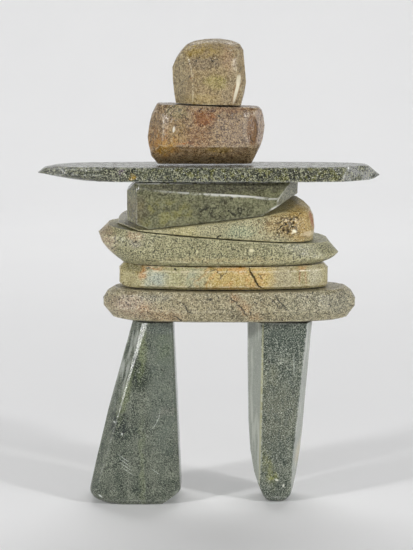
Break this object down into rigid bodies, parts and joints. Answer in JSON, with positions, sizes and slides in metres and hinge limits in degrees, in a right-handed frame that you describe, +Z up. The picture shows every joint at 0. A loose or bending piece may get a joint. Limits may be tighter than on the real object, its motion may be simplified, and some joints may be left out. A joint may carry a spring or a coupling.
{
  "type": "stone inukshuk figure",
  "caption": "Table-top inukshuk of stacked polished stones, with apart-standing legs, a layered body, a long slab for arms and a rounded head, for display.",
  "frame": {"origin": "centre of the bounding box at floor level, under the plumb line that all stones are measured from", "axes": "+Z up, -Y the way the figure faces, +X towards the viewer's right, along the outstretched arms"},
  "size_m": [0.2424, 0.07, 0.3299],
  "materials": {
    "leg_stone": "polished grey-green serpentine with dark speckle and yellow-green veins",
    "hip_stone": "honed tan and grey stone with pinkish patches and dark cracks",
    "belt_stone": "polished ochre and blue-grey stone with fine dark cracks",
    "chest_stone": "honed khaki stone with dark green speckle",
    "wedge_stone": "honed pale olive and tan stone with ochre patches and dark pits",
    "shoulder_stone": "polished dark olive stone",
    "arm_stone": "polished dark green-grey stone with yellow-green speckle",
    "neck_stone": "honed reddish brown stone with orange and ochre stains",
    "head_stone": "honed tan stone with yellow-ochre patches and a few dark pits"
  },
  "bodies": {
    "root": {"left_leg": "leg_stone", "right_leg": "leg_stone", "hip_slab": "hip_stone", "belt_slab": "belt_stone", "chest_slab": "chest_stone", "wedge_slab": "wedge_stone", "shoulder_slab": "shoulder_stone", "arm_slab": "arm_stone", "neck_stone": "neck_stone", "head_stone": "head_stone"}
  },
  "joints": []
}
